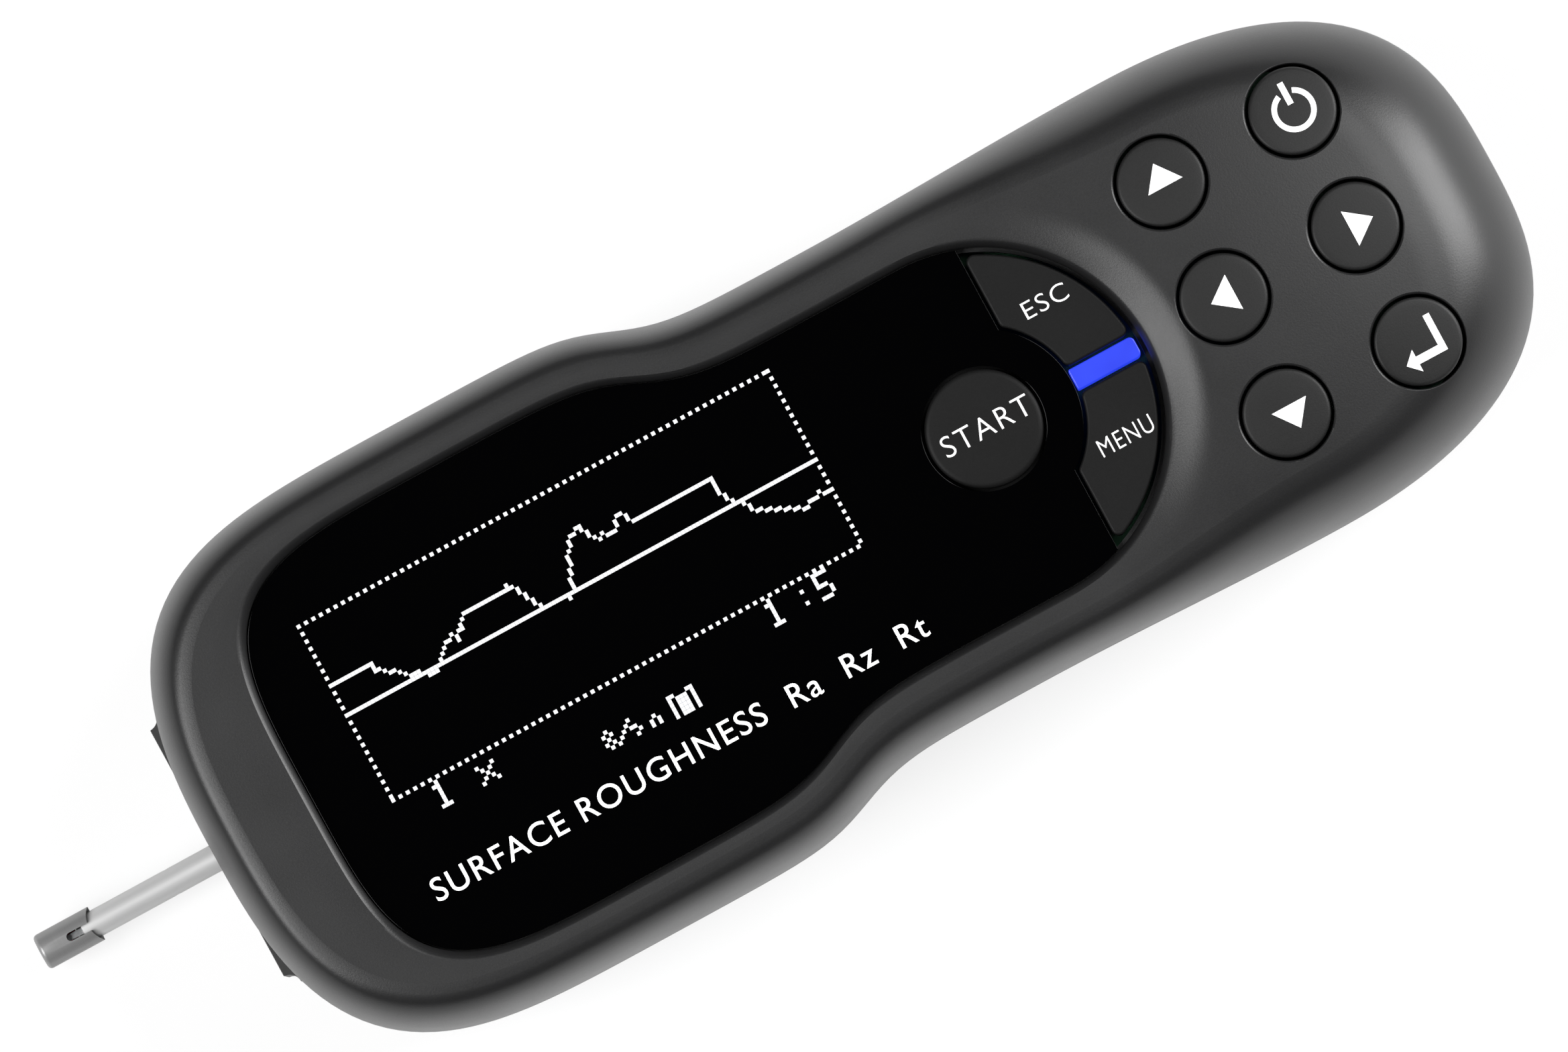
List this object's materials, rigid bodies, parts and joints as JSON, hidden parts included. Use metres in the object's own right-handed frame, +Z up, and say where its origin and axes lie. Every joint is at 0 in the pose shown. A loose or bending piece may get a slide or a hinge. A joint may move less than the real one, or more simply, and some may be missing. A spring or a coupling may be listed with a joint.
{
  "type": "surface roughness tester",
  "caption": "Hand-held surface roughness tester: waisted black housing with a display window, keys, and a stylus pickup drawn back into the front by an inner drive.",
  "frame": {"origin": "on the flat base, under the middle of the housing's length and width", "axes": "+X from the pickup towards the tail, +Y to the ESC key's side, +Z up out of the keys"},
  "size_m": [0.1803, 0.063, 0.0461],
  "materials": {
    "shell_black": "fine grained satin moulding",
    "plate_black": "black anodised",
    "window_gloss": "polished black panel",
    "key_black": "fine grained keys",
    "lamp_blue": "lit light guide",
    "lamp_white": "lamp body",
    "screw_steel": "zinc plated",
    "display_glass": "display module",
    "board_green": "solder resist",
    "chip_black": "moulded packages",
    "switch_cream": "switch bodies",
    "cell_foil": "wrapped cell",
    "socket_metal": "plated sheet",
    "frame_metal": "machined frame",
    "motor_metal": "plated can",
    "rod_steel": "ground steel",
    "bush_bronze": "sintered bronze",
    "nut_brass": "turned brass",
    "carriage_dark": "moulded carriage",
    "tube_steel": "satin tube",
    "nose_steel": "turned sleeve",
    "skid_ruby": "polished ruby",
    "stylus_steel": "ground lever and tip"
  },
  "bodies": {
    "housing": {"upper_shell": "shell_black", "lower_shell": "shell_black", "front_plate": "plate_black", "display_window": "window_gloss", "light_bar": "lamp_blue", "indicator_lamp": "lamp_white", "plate_screws": "screw_steel", "case_screws": "screw_steel", "board_screws": "screw_steel", "charge_screws": "screw_steel", "frame_screws": "screw_steel", "display_module": "display_glass", "main_board": "board_green", "charge_board": "board_green", "board_chips": "chip_black", "key_switches": "switch_cream", "battery": "cell_foil", "charge_socket": "socket_metal", "drive_frame": "frame_metal", "drive_motor": "motor_metal", "guide_rods": "rod_steel", "screw_bearing": "bush_bronze"},
    "pickup": {"carriage": "carriage_dark", "carriage_bushes": "bush_bronze", "drive_nut": "nut_brass", "probe_socket": "carriage_dark", "probe_plug": "carriage_dark", "probe_tube": "tube_steel", "probe_nose": "nose_steel", "probe_skid": "skid_ruby", "pivot_pin": "rod_steel"},
    "stylus": {"stylus_arm": "stylus_steel", "stylus_tip": "stylus_steel"},
    "screw": {"lead_screw": "rod_steel", "shaft_coupling": "nut_brass", "motor_shaft": "rod_steel"},
    "start_press": {"start_key": "key_black"},
    "esc_press": {"esc_key": "key_black"},
    "menu_press": {"menu_key": "key_black"},
    "up_press": {"up_key": "key_black"},
    "left_press": {"left_key": "key_black"},
    "down_press": {"down_key": "key_black"},
    "power_press": {"power_key": "key_black"},
    "right_press": {"right_key": "key_black"},
    "enter_press": {"enter_key": "key_black"}
  },
  "joints": [
    {"name": "pickup_traverse", "type": "slide", "parent": "housing", "child": "pickup", "axis": [1, 0, 0], "range_m": [0, 0.0175]},
    {"name": "screw_turn", "type": "hinge", "parent": "housing", "child": "screw", "pos_m": [-0.04, 0, 0.0144], "axis": [1, 0, 0], "range_deg": [-6300, 0]},
    {"name": "stylus_rock", "type": "hinge", "parent": "pickup", "child": "stylus", "pos_m": [-0.085, 0, 0.0046], "axis": [0, 1, 0], "range_deg": [-0.6, 2], "stiffness_Nm_per_rad": 0.005},
    {"name": "start_travel", "type": "slide", "parent": "housing", "child": "start_press", "axis": [0, 0, -1], "range_m": [0, 0.0008], "stiffness_N_per_m": 600},
    {"name": "esc_travel", "type": "slide", "parent": "housing", "child": "esc_press", "axis": [0, 0, -1], "range_m": [0, 0.0008], "stiffness_N_per_m": 600},
    {"name": "menu_travel", "type": "slide", "parent": "housing", "child": "menu_press", "axis": [0, 0, -1], "range_m": [0, 0.0008], "stiffness_N_per_m": 600},
    {"name": "up_travel", "type": "slide", "parent": "housing", "child": "up_press", "axis": [0, 0, -1], "range_m": [0, 0.0008], "stiffness_N_per_m": 600},
    {"name": "left_travel", "type": "slide", "parent": "housing", "child": "left_press", "axis": [0, 0, -1], "range_m": [0, 0.0008], "stiffness_N_per_m": 600},
    {"name": "down_travel", "type": "slide", "parent": "housing", "child": "down_press", "axis": [0, 0, -1], "range_m": [0, 0.0008], "stiffness_N_per_m": 600},
    {"name": "power_travel", "type": "slide", "parent": "housing", "child": "power_press", "axis": [0, 0, -1], "range_m": [0, 0.0008], "stiffness_N_per_m": 600},
    {"name": "right_travel", "type": "slide", "parent": "housing", "child": "right_press", "axis": [0, 0, -1], "range_m": [0, 0.0008], "stiffness_N_per_m": 600},
    {"name": "enter_travel", "type": "slide", "parent": "housing", "child": "enter_press", "axis": [0, 0, -1], "range_m": [0, 0.0008], "stiffness_N_per_m": 600}
  ],
  "couplings": [
    {"joint": "screw_turn", "follows": "pickup_traverse", "rad_per_m": -6283.2}
  ]
}
